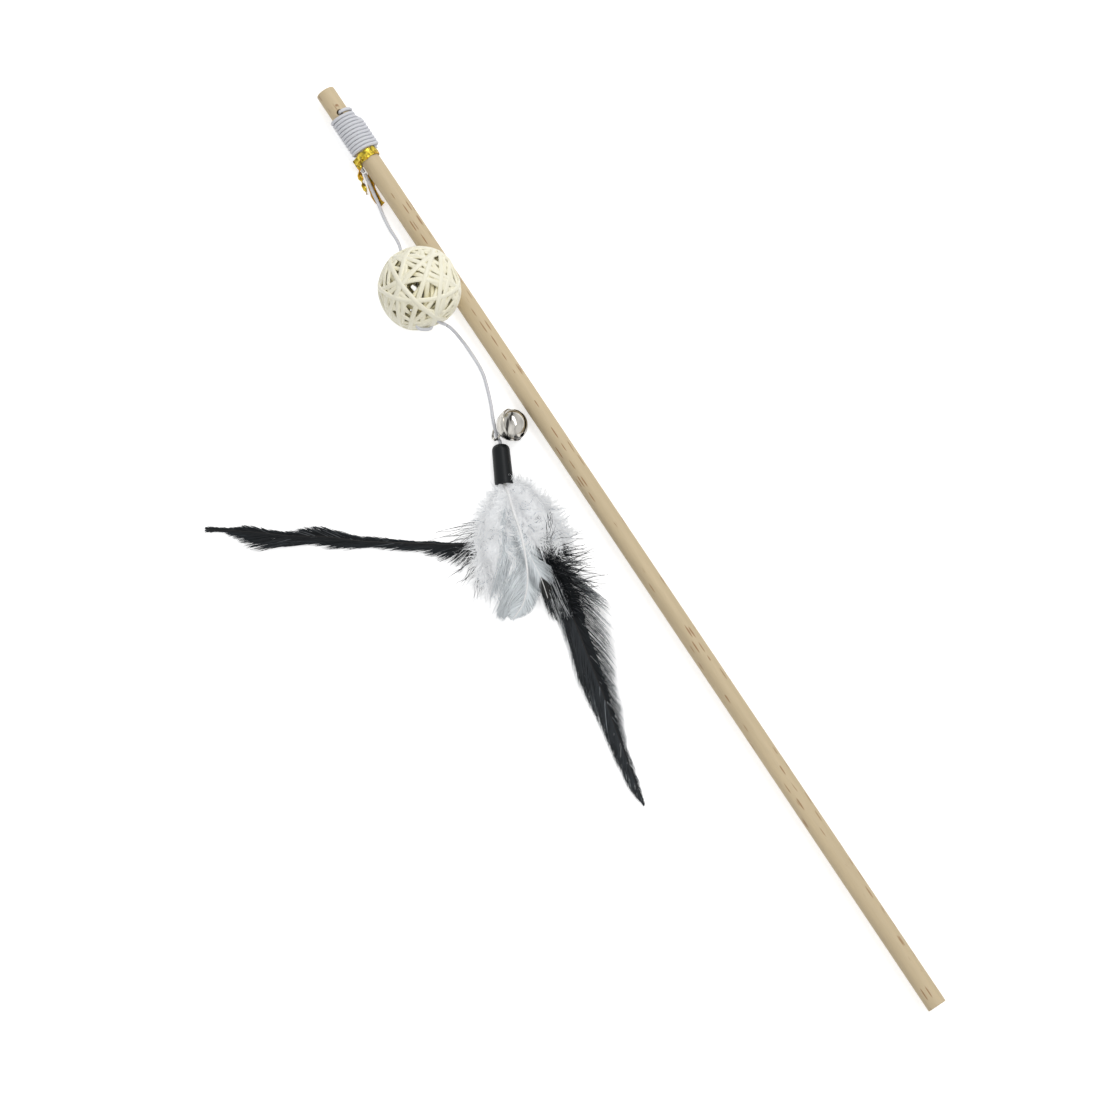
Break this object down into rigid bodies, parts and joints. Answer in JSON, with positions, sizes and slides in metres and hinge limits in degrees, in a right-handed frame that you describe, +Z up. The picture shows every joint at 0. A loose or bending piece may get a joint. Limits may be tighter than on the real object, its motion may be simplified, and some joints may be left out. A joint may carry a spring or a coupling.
{
  "type": "cat teaser wand",
  "caption": "Cat teaser wand: a wooden stick with a wound elastic cord that holds a woven cane ball, a jingle bell and a capped bunch of feathers.",
  "frame": {"origin": "centre of the stick's butt end face", "axes": "+X along the stick from the butt to the tip, +Y towards the side where the ball lies, +Z up from the table"},
  "size_m": [0.4, 0.131, 0.0338],
  "materials": {
    "beech": "sanded",
    "elastic": "braided",
    "gold_foil": "metallised",
    "wire": "plain",
    "cane": "split cane",
    "nickel": "nickel plated",
    "clapper_steel": "plain",
    "black_vinyl": "soft",
    "glue": "hot glue",
    "pale_feather": "feather",
    "down": "down",
    "dark_feather": "feather"
  },
  "bodies": {
    "wand": {"dowel": "beech", "cord_winding": "elastic", "twist_tie": "gold_foil", "tie_wire": "wire"},
    "ball_lead": {"cord_upper": "elastic", "cane_1": "cane", "cane_2": "cane", "cane_3": "cane", "cane_4": "cane", "cane_5": "cane", "cane_6": "cane", "cane_7": "cane", "cane_8": "cane", "cane_9": "cane", "cane_10": "cane", "cane_11": "cane", "cane_12": "cane"},
    "bell_lead": {"cord_lower": "elastic"},
    "bell": {"bell_upper_shell": "nickel", "bell_lower_shell": "nickel", "bell_eye": "nickel"},
    "clapper": {"bell_clapper": "clapper_steel"},
    "lure": {"cap_cord_knot": "elastic", "feather_cap": "black_vinyl", "cap_glue": "glue", "white_feather": "pale_feather", "spotted_feather": "pale_feather", "down_plume_left": "down", "down_plume_right": "down", "left_hackle": "dark_feather", "right_hackle": "dark_feather"}
  },
  "joints": [
    {"name": "tie_swing", "type": "hinge", "parent": "wand", "child": "ball_lead", "pos_m": [0.36629, 0.00435, -0.0015], "axis": [0, 0, 1], "range_deg": [-110, 0]},
    {"name": "ball_swing", "type": "hinge", "parent": "ball_lead", "child": "bell_lead", "pos_m": [0.2999, 0.0113, 0.0082], "axis": [0, 1, 0], "range_deg": [-30, 70]},
    {"name": "bell_swing", "type": "hinge", "parent": "bell_lead", "child": "bell", "pos_m": [0.2596, 0.01675, -0.00308], "axis": [-0.9403, 0.3404, 0], "range_deg": [0, 75]},
    {"name": "clapper_rattle", "type": "slide", "parent": "bell", "child": "clapper", "axis": [0, 0, 1], "range_m": [0, 0.0074]},
    {"name": "lure_swing", "type": "hinge", "parent": "bell_lead", "child": "lure", "pos_m": [0.25519, 0.01774, -0.00162], "axis": [0, 0, 1], "range_deg": [-30, 5]}
  ]
}
